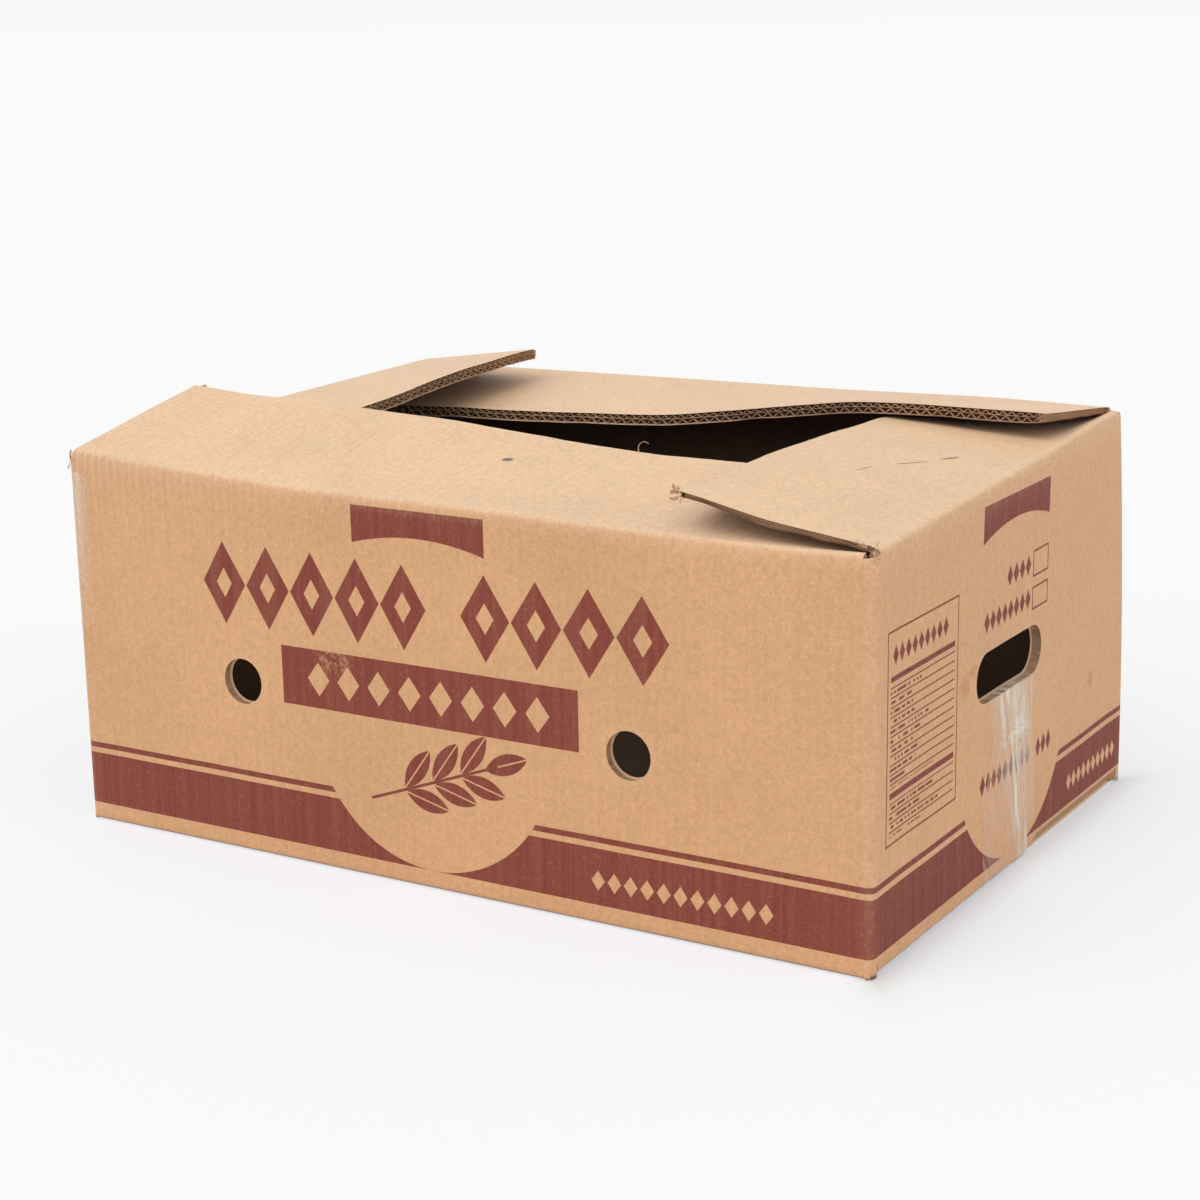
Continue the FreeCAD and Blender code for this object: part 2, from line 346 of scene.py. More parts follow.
def columnMarks():
    marks = []
    r = sheet["cornerRadius"]
    for name, panel in panels.items():
        middle = panel["start"] + panel["half"]
        local = [*panel["flap"], -panel["bottom"], panel["bottom"]]
        if panel["end"]:
            local += [-panel["bottom"] - sheet["slit"], panel["bottom"] + sheet["slit"]]
        local += [side * (panel["half"] - r * k / 3) for side in (-1, 1) for k in range(4)]
        for wall, place, level, straight, radius in holes:
            if wall == name:
                reach = straight + radius + 4
                count = round(2 * reach / sheet["holeCell"])
                local += np.linspace(place - reach, place + reach, count).tolist()
        marks += [middle + a for a in local]
    return marks


def rowMarks():
    marks = [sheet["foldStart"] + topArc * k / 4 for k in range(5)]
    marks += [sheetTop, sheet["innerTop"]]
    for panel in (panels["front"], panels["right"]):
        marks += [footStart(panel) - footArc * k / 4 for k in range(5)] + [sheetFoot(panel)]
    marks += np.arange(85.0, 149.0, sheet["holeCell"]).tolist()
    return marks


def keepCell(u, s):
    panel, a = panelAt(u)
    if s > sheet["foldStart"] + topArc / 4:
        return panel["flap"][0] < a < panel["flap"][1]
    if s < footStart(panel) and panel["end"] and abs(a) > panel["bottom"]:
        return abs(a) > panel["bottom"] + sheet["slit"] and s > footStart(panels["front"])
    if s < footStart(panels["front"]) and abs(a) > panel["bottom"]:
        return False
    return s > sheetFoot(panel) and holeDistance(u, s) > 0


def stretchGrid(bm, columns, rows, level):
    # a grid whose lines are moved to the given columns and rows
    grid = bmesh.ops.create_grid(bm, x_segments=len(columns) - 1, y_segments=len(rows) - 1, size=1.0,
                                 calc_uvs=True)
    for v in grid["verts"]:
        v.co = Vector((columns[round((v.co.x + 1) / 2 * (len(columns) - 1))],
                       rows[round((v.co.y + 1) / 2 * (len(rows) - 1))], level))
    return grid["verts"]


def cutHoles(bm):
    for v in bm.verts:
        if v.is_boundary:
            away = holeDistance(v.co.x, v.co.y)
            if abs(away) < 1.2 * sheet["holeCell"]:
                step = 0.01
                slope = Vector((holeDistance(v.co.x + step, v.co.y) - away,
                                holeDistance(v.co.x, v.co.y + step) - away, 0)) / step
                v.co -= slope.normalized() * away


def pocketFaces(bm, faces, lip, depth):
    if faces:
        bmesh.ops.inset_region(bm, faces=faces, use_boundary=True, use_even_offset=True,
                               thickness=lip, depth=-depth)


def crushedSide(place):
    panel, a = panelAt(place.x)
    return "crushed" in panel and abs(a - panel["flap"][0]) < 4 and place.y > sheet["foldStart"] + topArc


def openEdges(bm):
    # the cut edges of the board, opened between its liners
    bm.normal_update()
    groups = {}
    for face in bm.faces:
        if abs(face.normal.z) < 0.1:
            u, s, depth = face.calc_center_median()
            if abs(holeDistance(u, s)) < 0.6:
                groups.setdefault(("rim", panelName(u)), []).append(face)
            elif s > sheet["foldStart"] + topArc:
                groups.setdefault(("flap", panelName(u)), []).append(face)
            elif s < -footArc and abs(face.normal.x) > 0.9:
                groups.setdefault(("foot", panelName(u)), []).append(face)
    for (kind, name), faces in groups.items():
        pocketFaces(bm, faces, sheet["liner"], sheet["pocket" if kind == "flap" else "holePocket"])
    return {v for (kind, name), faces in groups.items() if kind == "flap" for f in faces for v in f.verts
            if not crushedSide(v.co)}


def paintSheet(bm, opened):
    # notes on the mesh for the finish: depth, raw edge, end panel and ribs in one layer,
    # nearness to folds, corners and cuts and the flaps in the other
    boardLayer = bm.loops.layers.float_color.new("board")
    wearLayer = bm.loops.layers.float_color.new("wear")
    for face in bm.faces:
        middle = face.calc_center_median()
        raw = 0.0
        if 0.02 < -middle.z < board - 0.02:
            raw = 1.0 if all(v in opened for v in face.verts) else 0.6
        panel, a = panelAt(middle.x)
        for loop in face.loops:
            u, s, depth = loop.vert.co
            a = u - panel["start"] - panel["half"]
            fold = math.exp(-((s - sheet["foldStart"] - topArc / 2) / (11 if panel["end"] else 5)) ** 2)
            ribs = math.exp(-max(sheet["foldStart"] - s, 0) / 14) if s < sheet["foldStart"] + topArc else 0.0
            corner = math.exp(-((panel["half"] - abs(a)) / 5) ** 2)
            cut = math.exp(-max(sheetTop - s, 0) / 3)
            flap = smooth((s - sheet["foldStart"] - 1) / (topArc - 2))
            near = math.exp(-max(holeDistance(u, s), 0) / 3)
            loop[boardLayer] = (-depth / board, raw, 1.0 if panel["end"] else 0.0, ribs)
            loop[wearLayer] = (fold, corner, max(cut, near), flap)


def raggedTop(bm):
    for v in bm.verts:
        past = v.co.y - (sheetTop - 3.0)
        if past > 0:
            rough = noise.noise(Vector((v.co.x / 5, 3.0, 0)))
            rough += 0.6 * noise.noise(Vector((v.co.x / 1.9, 7.0, 0)))
            v.co.y += sheet["ragged"] * (rough - 1.0) * past / 3


glueFlap = {"low": (-267.9, 179.9, 29.4), "high": (-233.0, 186.9, 198.0)}


def glueLap(bm):
    # the lap glued inside the back left corner
    low, high = Vector(glueFlap["low"]), Vector(glueFlap["high"])
    size = high - low
    lap = bmesh.ops.create_cube(bm, size=1.0, matrix=Matrix.Translation((low + high) / 2 * mm)
                                @ Matrix.Diagonal((*(size * mm), 1)))
    edges = {e for v in lap["verts"] for e in v.link_edges}
    bmesh.ops.bevel(bm, geom=list(edges), offset=0.5 * mm, affect="EDGES", segments=2, profile=0.5,
                    material=-1)


def finishObject(name, bm, material, sharp=38):
    mesh = bpy.data.meshes.new(name)
    bm.to_mesh(mesh)
    bm.free()
    mesh.shade_smooth()
    mesh.set_sharp_from_angle(angle=math.radians(sharp))
    mesh.materials.append(material)
    piece = bpy.data.objects.new(name, mesh)
    bpy.context.scene.collection.objects.link(piece)
    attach(piece, "root")
    return piece


def makeCarton(material):
    bm = bmesh.new()
    stretchGrid(bm, breaks(columnMarks(), sheet["cell"]), breaks(rowMarks(), sheet["cell"]), 0.0)
    gone = [f for f in bm.faces if not keepCell(*f.calc_center_median().xy)]
    bmesh.ops.delete(bm, geom=gone, context="FACES")
    cutHoles(bm)
    thick = bmesh.ops.extrude_face_region(bm, geom=bm.faces[:])
    bmesh.ops.translate(bm, verts=[g for g in thick["geom"] if isinstance(g, bmesh.types.BMVert)],
                        vec=(0, 0, -board))
    bmesh.ops.recalc_face_normals(bm, faces=bm.faces[:])
    seam = [f for f in bm.faces if not 0.01 < f.calc_center_median().x < around - 0.01]
    bmesh.ops.delete(bm, geom=seam, context="FACES_ONLY")
    paintSheet(bm, openEdges(bm))
    raggedTop(bm)
    ends = [v for v in bm.verts if not 0.01 < v.co.x < around - 0.01]
    for v in bm.verts:
        v.co = foldSheet(v.co.x, v.co.y, -v.co.z)
    bmesh.ops.remove_doubles(bm, verts=ends, dist=0.05 * mm)
    glueLap(bm)
    piece = finishObject("carton_board", bm, material)
    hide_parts("carton")
    return piece


# Wavy sheets: their thickness, their place in from the edge, steps for each wave and depth
flutes = {"wall": 0.26, "inset": 0.6, "steps": 8, "depth": 2.9, "sideStrip": 1.6}


def makeFlutes(material):
    # both corrugated sheets and the liner between them, along the free edges of the top flaps
    bm = bmesh.new()
    liner, small, large = sheet["liner"], sheet["smallFlute"], sheet["largeFlute"]
    for name, panel in panels.items():
        first, last = (panel["start"] + panel["half"] + a for a in panel["flap"])
        first, last = first + 1, last - 1
        rows = [sheetTop - flutes["depth"], sheetTop - flutes["inset"]]
        for pitch, tall, top in ((sheet["smallPitch"], small, liner),
                                 (sheet["largePitch"], large, 2 * liner + small)):
            count = round((last - first) / pitch * flutes["steps"])
            columns = np.linspace(first, last, count + 1).tolist()
            middle = top + tall / 2
            for v in stretchGrid(bm, columns, rows, 0.0):
                squash = 0.96 - 0.35 * max(noise.noise(Vector((v.co.x / 24, top, 1))), 0)
                drift = 0.8 * noise.noise(Vector((v.co.x / 19, top, 6)))
                wave = math.sin(2 * math.pi * v.co.x / pitch + drift)
                v.co.z = -middle - (tall - flutes["wall"]) / 2 * squash * wave
        columns = np.linspace(first, last, round((last - first) / 6) + 1).tolist()
        stretchGrid(bm, columns, [rows[0], rows[1] + 0.3], -liner * 1.5 - small + flutes["wall"] / 2)
        # beside the side edges the flutes run along the cut, torn and pressed
        lengths = breaks([sheet["foldStart"] + topArc + 4, sheetTop - 4], 2.4)
        for edge, way in ((first - 0.5, 1), (last + 0.5, -1)):
            for level, sway in ((2.2, 0.8), (4.4, 1.0)):
                columns = sorted((edge, edge + way * flutes["sideStrip"]))
                for v in stretchGrid(bm, columns, lengths, 0.0):
                    near = abs(v.co.x - edge) < 0.01
                    rough = noise.noise(Vector((v.co.y / 7, level, edge)))
                    v.co.z = -level + sway * (rough if near else 0.3 * rough)
                    v.co.x += way * 0.5 * abs(noise.noise(Vector((v.co.y / 4, edge, level)))) if near else 0
    bmesh.ops.solidify(bm, geom=bm.faces[:], thickness=flutes["wall"])
    bmesh.ops.recalc_face_normals(bm, faces=bm.faces[:])
    raggedTop(bm)
    for v in bm.verts:
        v.co = foldSheet(v.co.x, v.co.y, -v.co.z)
    return finishObject("flute_rows", bm, material, 60)


# Clear tape: a film along a path of (x, z) points, with both its sides' y at each distance along it

tapes = {
    "seam_film": {
        "stands": "seam_tape",
        "path": ((267.9, 101), (267.9, 114.1), (275.0, 114.1), (275.0, 100), (275.0, 60), (275.0, 14),
                 (275.1, 5), (274.8, 2.6), (273.9, 1.0), (272.0, 0.2), (-273.3, 0.1), (-273.3, 6),
                 (-273.7, 8.4), (-274.9, 10.5), (-275.0, 14), (-275.0, 52)),
        "sides": ((0, -33, 26), (13, -34, 28), (20, -36, 28), (45, -31, 26), (75, -39, 24), (115, -43, 26),
                  (135, -37, 27), (900, -37, 27)),
        "wrinkle": 0.5, "across": 60, "step": 2.5,
    },
    "patch_film": {
        "stands": "patch_tape",
        "path": ((275.1, 112), (275.1, 60), (275.1, 21)),
        "sides": ((0, 4, 30), (30, 2, 28), (50, 6, 32), (91, 12, 37)),
        "wrinkle": 0.4, "across": 30, "step": 2.0,
    },
}
filmLimit = {1: 275.36, -1: 275.18}     # how far out a wrinkle may stand, on the right and on the left


def filmPath(points, step):
    # places along a path at even steps, with its own points among them
    places = [Vector((x, 0, z)) for x, z in points]
    marks = np.concatenate([[0], np.cumsum([(b - a).length for a, b in zip(places, places[1:])])])
    count = max(round(marks[-1] / step), 2)
    spots = np.unique(np.concatenate([np.linspace(0, marks[-1], count + 1), marks]))
    xs, zs = [p.x for p in places], [p.z for p in places]
    return [(spot, np.interp(spot, marks, xs), np.interp(spot, marks, zs)) for spot in spots]


def makeTape(name, material):
    tape = tapes[name]
    rows = filmPath(tape["path"], tape["step"])
    marks, lows, highs = zip(*tape["sides"])
    bm = bmesh.new()
    bm.loops.layers.uv.new("film")
    grid = bmesh.ops.create_grid(bm, x_segments=tape["across"], y_segments=len(rows) - 1, size=1.0,
                                 calc_uvs=True)
    for v in grid["verts"]:
        share = (v.co.x + 1) / 2
        spot, x, z = rows[round((v.co.y + 1) / 2 * (len(rows) - 1))]
        low, high = np.interp(spot, marks, lows), np.interp(spot, marks, highs)
        edge = 0.5 * noise.noise(Vector((spot / 9, share * 9, 1)))
        y = low + (high - low) * share + edge * abs(2 * share - 1) ** 6
        if abs(x) > 274.95 and 14 < z < 114:
            onEnd = panels["right"] if x > 0 else panels["left"]
            fold = max(1 - abs(noise.noise(Vector((y / 7 + z / 45, z / 42, 2)))) * 2.6, 0) ** 2
            cross = max(1 - abs(z - 84 - 0.25 * y) / 5, 0) * noise.noise(Vector((y / 9, z / 4, 5)))
            rise = tape["wrinkle"] * (fold + 0.6 * cross) * smooth((z - 16) / 8) * smooth((112 - z) / 8)
            x = math.copysign(min(abs(x) + rise, filmLimit[1 if x > 0 else -1]), x)
            x -= math.copysign(dentAt(onEnd, y if x > 0 else -y, z) * 0.9, x)
        v.co = Vector((x, y, z)) * mm
    piece = finishObject(name, bm, material)
    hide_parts(tape["stands"])
    return piece


cornerFilm = {"low": 129.0, "high": 227.0, "front": 13.0, "end": 37.0, "stand": 0.18}


def makeCornerTape(material):
    bm = bmesh.new()
    bm.loops.layers.uv.new("film")
    run = cornerFilm["front"] + cornerFilm["end"]
    columns = breaks([0, cornerFilm["end"] - 5, cornerFilm["end"], cornerFilm["end"] + 5, run], 1.6)
    rows = breaks([cornerFilm["low"], cornerFilm["high"]], 3.0)
    for v in stretchGrid(bm, columns, rows, 0.0):
        past, s = v.co.x - cornerFilm["end"], v.co.y
        panel = panels["left" if past < 0 else "front"]
        a = past + math.copysign(panel["half"], -past)
        ridge = max(1 - abs(noise.noise(Vector((past / 5, s / 30, 4)))) * 2.2, 0) ** 3
        along, w = roundCorner(panel, a, 0.0)
        dent = dentAt(panel, a, s)
        stand = cornerFilm["stand"] * (0.8 + ridge * 0.2) + min(dent * 0.6, 0.3)
        v.co = toWall(panel, along, w + dent - stand, s) * mm
    bmesh.ops.recalc_face_normals(bm, faces=bm.faces[:])
    piece = finishObject("corner_film", bm, material)
    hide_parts("corner_tape")
    return piece


# Torn paper and loose fibres: place, first direction, length, width, curl in degrees and direction
# across, in mm

torn = {
    "thick": 0.3, "steps": 9,
    "strips": (
        ((155.5, -186.4, 251.7), (-0.8, -0.5, 0.6), 9.0, 3.0, 190, (0.2, -0.6, 0.8)),
        ((155.5, -184.5, 252.0), (-0.9, -0.1, 0.2), 7.0, 2.6, 140, (0.3, 0.9, 0.1)),
        ((156.0, -186.8, 249.2), (-0.7, -0.6, -0.3), 7.0, 2.2, -110, (0.2, -0.3, 0.9)),
        ((155.4, -181.5, 251.4), (-1.0, 0.2, 0.3), 5.0, 1.8, 90, (0.1, 0.9, 0.3)),
        ((159.0, -187.0, 249.2), (-0.3, -0.9, 0.1), 4.0, 2.4, 120, (0.9, -0.2, 0.3)),
        ((-274.2, -191.6, 240.0), (-0.1, -0.3, -1.0), 9.0, 4.5, 50, (0.7, -0.7, 0.0)),
        ((-273.6, -192.8, 233.0), (-0.4, -0.1, -1.0), 8.0, 3.0, -60, (0.7, -0.7, 0.0)),
        ((-263.0, -76.0, 262.6), (-0.5, 0.7, 0.35), 8.5, 3.4, 70, (0.6, 0.6, 0.1)),
        ((-262.0, -77.5, 260.0), (-0.7, 0.5, 0.2), 6.0, 2.6, -60, (0.6, 0.6, 0.1)),
    ),
    "fibres": (
        ((67.0, -75.5, 247.6), (-0.45, 0.2, 1.0), 12.0, 0.6, 170, (0.2, 1, 0.1)),
        ((270.5, -189.5, 234.6), (-0.6, -0.5, 0.8), 5.5, 0.8, 110, (1, 0, 0)),
        ((268.0, -190.5, 234.6), (-0.8, -0.6, 0.4), 6.5, 0.7, 90, (0, 0, 1)),
        ((272.5, -188.5, 235.2), (0.3, -0.7, 0.6), 4.5, 0.8, -120, (1, 0, 0)),
        ((266.5, -191.5, 234.8), (-0.5, -0.4, 0.9), 5.0, 0.6, 140, (0, 1, 0)),
        ((272.4, -191.8, 233.0), (0.4, -0.5, -0.8), 7.0, 0.8, 50, (1, 0, 0)),
        ((264.5, -190.6, 235.2), (-0.8, -0.5, 0.5), 6.0, 0.6, 150, (0, 1, 0)),
        ((274.2, -188.6, 231.5), (0.4, -0.4, -0.9), 6.0, 0.7, -60, (1, 0, 0)),
        ((273.4, -190.6, 232.6), (0.5, -0.6, -0.3), 5.0, 0.9, 80, (0, 0, 1)),
    ),
    "loose": 46,
}


def curlStrip(bm, start, way, length, width, curl, across):
    steps = torn["steps"]
    rows = np.linspace(0, length, steps + 1).tolist()
    way, across = Vector(way).normalized(), Vector(across).normalized()
    turn = Matrix.Rotation(math.radians(curl) / steps, 3, across)
    places = [Vector(start)]
    for k in range(steps):
        places.append(places[-1] + way * length / steps)
        way = turn @ way
    for v in stretchGrid(bm, [-width / 2, 0.0, width / 2], rows, 0.0):
        k = rows.index(min(rows, key=lambda row: abs(row - v.co.y)))
        taper = 1 - 0.8 * (k / steps) ** 2 + 0.25 * noise.noise(Vector((k * 0.9, width, length)))
        v.co = places[k] + across * v.co.x * taper
        v.co = Vector([min(max(c, low / mm + 0.4), high / mm - 0.4) for c, low, high in zip(v.co, *cadBox)])


def makeTorn(material):
    bm = bmesh.new()
    for strip in (*torn["strips"], *torn["fibres"]):
        curlStrip(bm, *strip)
    for k in range(torn["loose"]):
        panel = panels[("front", "front", "left", "right", "back")[k % 5]]
        a = chance.uniform(panel["flap"][0] + 12, panel["flap"][1] - 12)
        depth = chance.choice((0.4, 3.3, 6.4))
        start = foldSheet(panel["start"] + panel["half"] + a, sheetTop - 0.6, depth) / mm
        outward = toWall(panel, a, 200, 0) - toWall(panel, a, 0, 0)
        way = outward.normalized() + Vector([chance.uniform(-0.7, 0.7) for side in range(3)])
        length, width, curl = chance.uniform(1.5, 4.0), chance.uniform(0.25, 0.6), chance.uniform(-90, 90)
        curlStrip(bm, start, way, length, width, curl, (chance.uniform(-1, 1), chance.uniform(-1, 1), 0.4))
    bmesh.ops.solidify(bm, geom=bm.faces[:], thickness=torn["thick"])
    bmesh.ops.recalc_face_normals(bm, faces=bm.faces[:])
    bmesh.ops.scale(bm, vec=(mm, mm, mm), verts=bm.verts[:])
    return finishObject("torn_paper", bm, material, 60)


# Shader maths


class Wire:
    # a socket of a material, with arithmetic
    def __init__(self, tree, socket):
        self.tree, self.socket = tree, socket

    def node(self, kind, settings=(), sockets=(), output=0):
        made = self.tree.nodes.new(kind)
        for name, value in dict(settings).items():
            setattr(made, name, value)
        for name, value in dict(sockets).items():
            if isinstance(value, Wire):
                self.tree.links.new(value.socket, made.inputs[name])
            else:
                made.inputs[name].default_value = value
        return Wire(self.tree, made.outputs[output])

    def math(self, operation, *values, clamp=False):
        return self.node("ShaderNodeMath", {"operation": operation, "use_clamp": clamp},
                         dict(enumerate(values)))

    def __add__(self, other):
        return self.math("ADD", self, other)

    def __sub__(self, other):
        return self.math("SUBTRACT", self, other)

    def __rsub__(self, other):
        return self.math("SUBTRACT", other, self)

    def __mul__(self, other):
        return self.math("MULTIPLY", self, other)

    def __truediv__(self, other):
        return self.math("DIVIDE", self, other)

    def __abs__(self):
        return self.math("ABSOLUTE", self)

    __radd__, __rmul__ = __add__, __mul__

    def least(self, *others):
        out = self
        for other in others:
            out = self.math("MINIMUM", out, other)
        return out

    def most(self, *others):
        out = self
        for other in others:
            out = self.math("MAXIMUM", out, other)
        return out

    def above(self, edge):
        return self.math("GREATER_THAN", self, edge)

    def fit(self, low, high):
        return self.math("MULTIPLY", self.math("SUBTRACT", self, low), 1 / (high - low), clamp=True)

    def floor(self):
        return self.math("FLOOR", self)

    def root(self):
        return self.math("SQRT", self)

    def noise(self, vector, scale, detail=2.0, rough=0.5):
        return self.node("ShaderNodeTexNoise", {},
                         {"Vector": vector, "Scale": scale, "Detail": detail, "Roughness": rough})

    def vector(self, x, y, z):
        return self.node("ShaderNodeCombineXYZ", {}, {"X": x, "Y": y, "Z": z})

    def blend(self, low, high):
        # two colours mixed by this value
        return self.node("ShaderNodeMix", {"data_type": "RGBA"}, {0: self, 6: low, 7: high}, 2)

    def tint(self, color, amount):
        # a colour made lighter or darker by this value, with no change at a half
        gain = 1 + (self - 0.5) * (2 * amount)
        color = color if isinstance(color, Wire) else color[:3]
        return self.node("ShaderNodeVectorMath", {"operation": "SCALE"}, {0: color, "Scale": gain})


def newMaterial(name):
    material = bpy.data.materials.new(name)
    material.use_nodes = True
    tree = material.node_tree
    tree.nodes.clear()
    shader = tree.nodes.new("ShaderNodeBsdfPrincipled")
    out = tree.nodes.new("ShaderNodeOutputMaterial")
    tree.links.new(shader.outputs[0], out.inputs[0])
    return material, shader, Wire(tree, None)


def drive(wire, shader, name):
    wire.tree.links.new(wire.socket, shader.inputs[name])


def bumped(kit, height, distance):
    return kit.node("ShaderNodeBump", {}, {"Strength": 1.0, "Distance": distance, "Height": height})


def gray(value):
    return (value, value, value, 1)


kraft = {
    # the top tone is a painted sheen: the top flaps are paler than the walls' paper
    "paper": (0.70, 0.385, 0.190, 1), "top": (0.85, 0.57, 0.35, 1),
    # the inside tones are painted shade: darker than the outside paper, and darkest low down
    "inside": (0.17, 0.098, 0.056, 1), "insideShadeLow": (0.125, 0.074, 0.044, 1),
    # raw is painted shade, near black, deep in the opened pockets between the liners; cut is the middle paper
    # of the other cut faces, partly painted shade
    "raw": (0.055, 0.029, 0.016, 1), "cut": (0.46, 0.285, 0.165, 1), "lip": (0.78, 0.53, 0.335, 1),
    # the end walls' ink is painted darker than the long walls' ink, as shade
    "ink": (0.21, 0.027, 0.018, 1), "shadedEndInk": (0.185, 0.016, 0.010, 1),
    # mark is the dark of the scratches, and painted shade in the pin hole and along the foot
    "pale": (0.86, 0.62, 0.42, 1), "stain": (0.60, 0.235, 0.055, 1), "mark": (0.06, 0.030, 0.017, 1),
    "soft": 0.25, "inkWear": 0.10, "sheen": 0.05,
    # small marks, in mm: where they are, their half sizes and their turn
    "pinHole": (1.0, -116.0, 3.6, 2.6, 20.0),
    "scratches": ((221.0, -30.0, 13.0, 0.8, 62.0), (233.0, -3.0, 8.0, 1.7, 66.0),
                  (207.0, -64.0, 9.0, 0.5, 80.0)),
    "cracks": ((-172.0, -128.0, 50.0, 0.8, 98.0), (-98.0, -132.0, 48.0, 0.8, 98.0),
               (-53.0, -95.0, 24.0, 0.7, 97.0), (-226.0, -112.0, 34.0, 0.7, 97.0),
               (-134.0, -152.0, 22.0, 0.7, 98.0)),
    "stains": ((-74.0, 131.0, 9.0, 8.0), (131.0, 84.0, 5.0, 7.0), (-62.0, 138.0, 7.0, 4.0),
               (40.0, 214.0, 16.0, 5.0)),
    "smear": (-74.0, 132.0, 16.0, 12.0),
}

# All print is in mm: along the wall, as it is seen from outside, and up
printWork = {
    "band": (12.0, 45.5), "stripe": (49.0, 52.5), "top": 232.0, "rulePitch": 5.3, "dash": 2.1,
    "long": {"arch": (-11.0, 46.0, 227.0, 204.5, 6.5), "gap": (-7.0, 96.0, 84.0),
             "rows": ((-171.0, 33.0, 5, 169.5, 25.5, 16.0, 0.36), (17.0, 34.25, 4, 169.5, 25.5, 16.6, 0.36)),
             "bar": (-9.0, 118.0, 104.0, 18.0), "pale": ((-97.0, 22.0, 8, 118.0, 10.5, 8.0),
                                                          (101.0, 10.6, 11, 26.5, 6.0, 4.4))},
    "end": {"arch": (-1.0, 51.0, 230.0, 208.0, 7.5), "gap": (4.0, 96.0, 86.0),
            "rows": ((-15.0, 9.4, 4, 182.0, 6.2, 4.2, 0.0), (-48.0, 8.9, 8, 161.5, 6.2, 4.0, 0.0),
                     (-49.0, 8.6, 9, 65.0, 6.6, 3.9, 0.0), (37.0, 8.6, 3, 65.0, 6.6, 3.9, 0.0)),
            "pale": ((92.0, 8.8, 10, 26.5, 5.6, 3.9),),
            "checks": ((38.0, 181.5, 12.0, 7.5), (38.0, 160.5, 12.0, 6.5)),
            "table": (-131.5, 128.5, 46.5, 58.5)},
}


def shape(kit, distance):
    return kit.math("MULTIPLY_ADD", distance, -1 / kraft["soft"], 0.5, clamp=True)


def boxShape(x, z, middleX, middleZ, halfX, halfZ):
    return (abs(x - middleX) - halfX).most(abs(z - middleZ) - halfZ)


def archShape(x, z, arch):
    middle, half, top, ends, rise = arch
    share = (x - middle) / half
    foot = (1 - share * share) * rise + ends
    return (abs(x - middle) - half).most(z - top, foot - z)


def lozengeRow(x, z, row):
    # a row of lozenges from a start, with a pitch, a count, a level, half sizes and an open middle
    first, pitch, count, level, tall, wide, *core = row
    place = (x - first) / pitch
    local = (place - place.floor() - 0.5) * pitch
    size = abs(local) / wide + abs(z - level) / tall
    out = (size - 1) * (wide * 0.8)
    if core and core[0]:
        out = out.most((core[0] - size) * (wide * 0.8))
    return out.most(abs(x - (first + pitch * count / 2)) - pitch * count / 2)


def leafShape(x, z, middle, angle, length, width):
    turn = math.radians(angle)
    along = (x - middle[0]) * math.cos(turn) + (z - middle[1]) * math.sin(turn)
    across = (z - middle[1]) * math.cos(turn) - (x - middle[0]) * math.sin(turn)
    half, wide = length / 2, width / 2
    radius = (half * half + wide * wide) / (2 * wide)
    reach = abs(across) + (radius - wide)
    body = (along * along + reach * reach).root() - radius
    return body.most(0.45 - abs(across))


sprig = {"middle": (-1.0, 68.0), "turn": 20.0, "stem": 96.0, "leaf": (31.0, 12.5),
         "pairs": (-27.0, -6.0, 15.0), "spread": 34.0, "offset": 13.5}


def sprigShape(x, z):
    # a stem, three pairs of leaves and one at the tip
    turn = math.radians(sprig["turn"])
    ux, uz = math.cos(turn), math.sin(turn)
    mx, mz = sprig["middle"]
    along = (x - mx) * ux + (z - mz) * uz
    across = (z - mz) * ux - (x - mx) * uz
    out = (abs(along + 4) - sprig["stem"] / 2).most(abs(across) - 0.9)
    for place in sprig["pairs"]:
        for side in (-1, 1):
            angle = sprig["turn"] + side * sprig["spread"]
            reach = sprig["offset"] + sprig["leaf"][1] / 3
            cx = mx + place * ux + reach * math.cos(math.radians(angle))
            cz = mz + place * uz + reach * math.sin(math.radians(angle))
            out = out.least(leafShape(x, z, (cx, cz), angle, *sprig["leaf"]))
    tip = (mx + 50 * ux, mz + 50 * uz)
    return out.least(leafShape(x, z, tip, sprig["turn"], *sprig["leaf"]))


def tableShape(kit, x, z, table):
    # a frame, a row of lozenges, two thick bars, thin rules and short dashes between them
    mx, mz, hx, hz = table
    frameLine = abs(boxShape(x, z, mx, mz, hx, hz)) - 0.55
    bars = boxShape(x, z, mx, mz + 32.5, hx - 4, 1.5).least(boxShape(x, z, mx, mz - 31.5, hx - 4, 1.7))
    pitch, dash = printWork["rulePitch"], printWork["dash"]
    step = z / pitch
    cell = step - step.floor()
    zones = boxShape(x, z, mx, mz + 0.5, hx - 4, 28).least(boxShape(x, z, mx, mz - 45, hx - 4, 9.5))
    rules = (abs(cell - 0.5) * pitch - 0.42).most(zones)
    row = (step + 0.5).floor()
    spots = kit.node("ShaderNodeTexWhiteNoise", {"noise_dimensions": "2D"},
                     {"Vector": kit.vector((x / dash).floor(), row, 0)})
    line = abs(step - row) * pitch - 0.8
    ends = kit.node("ShaderNodeTexWhiteNoise", {"noise_dimensions": "1D"}, {"W": row})
    words = line.most((0.3 - spots) * 3, (x - mx) - (ends * 1.0 - 0.5) * hx, zones)
    title = lozengeRow(x, z, (mx - hx + 6, 8.2, 9, mz + 45, 5.4, 3.5, 0.0))
    return frameLine.least(bars, rules, words, title)


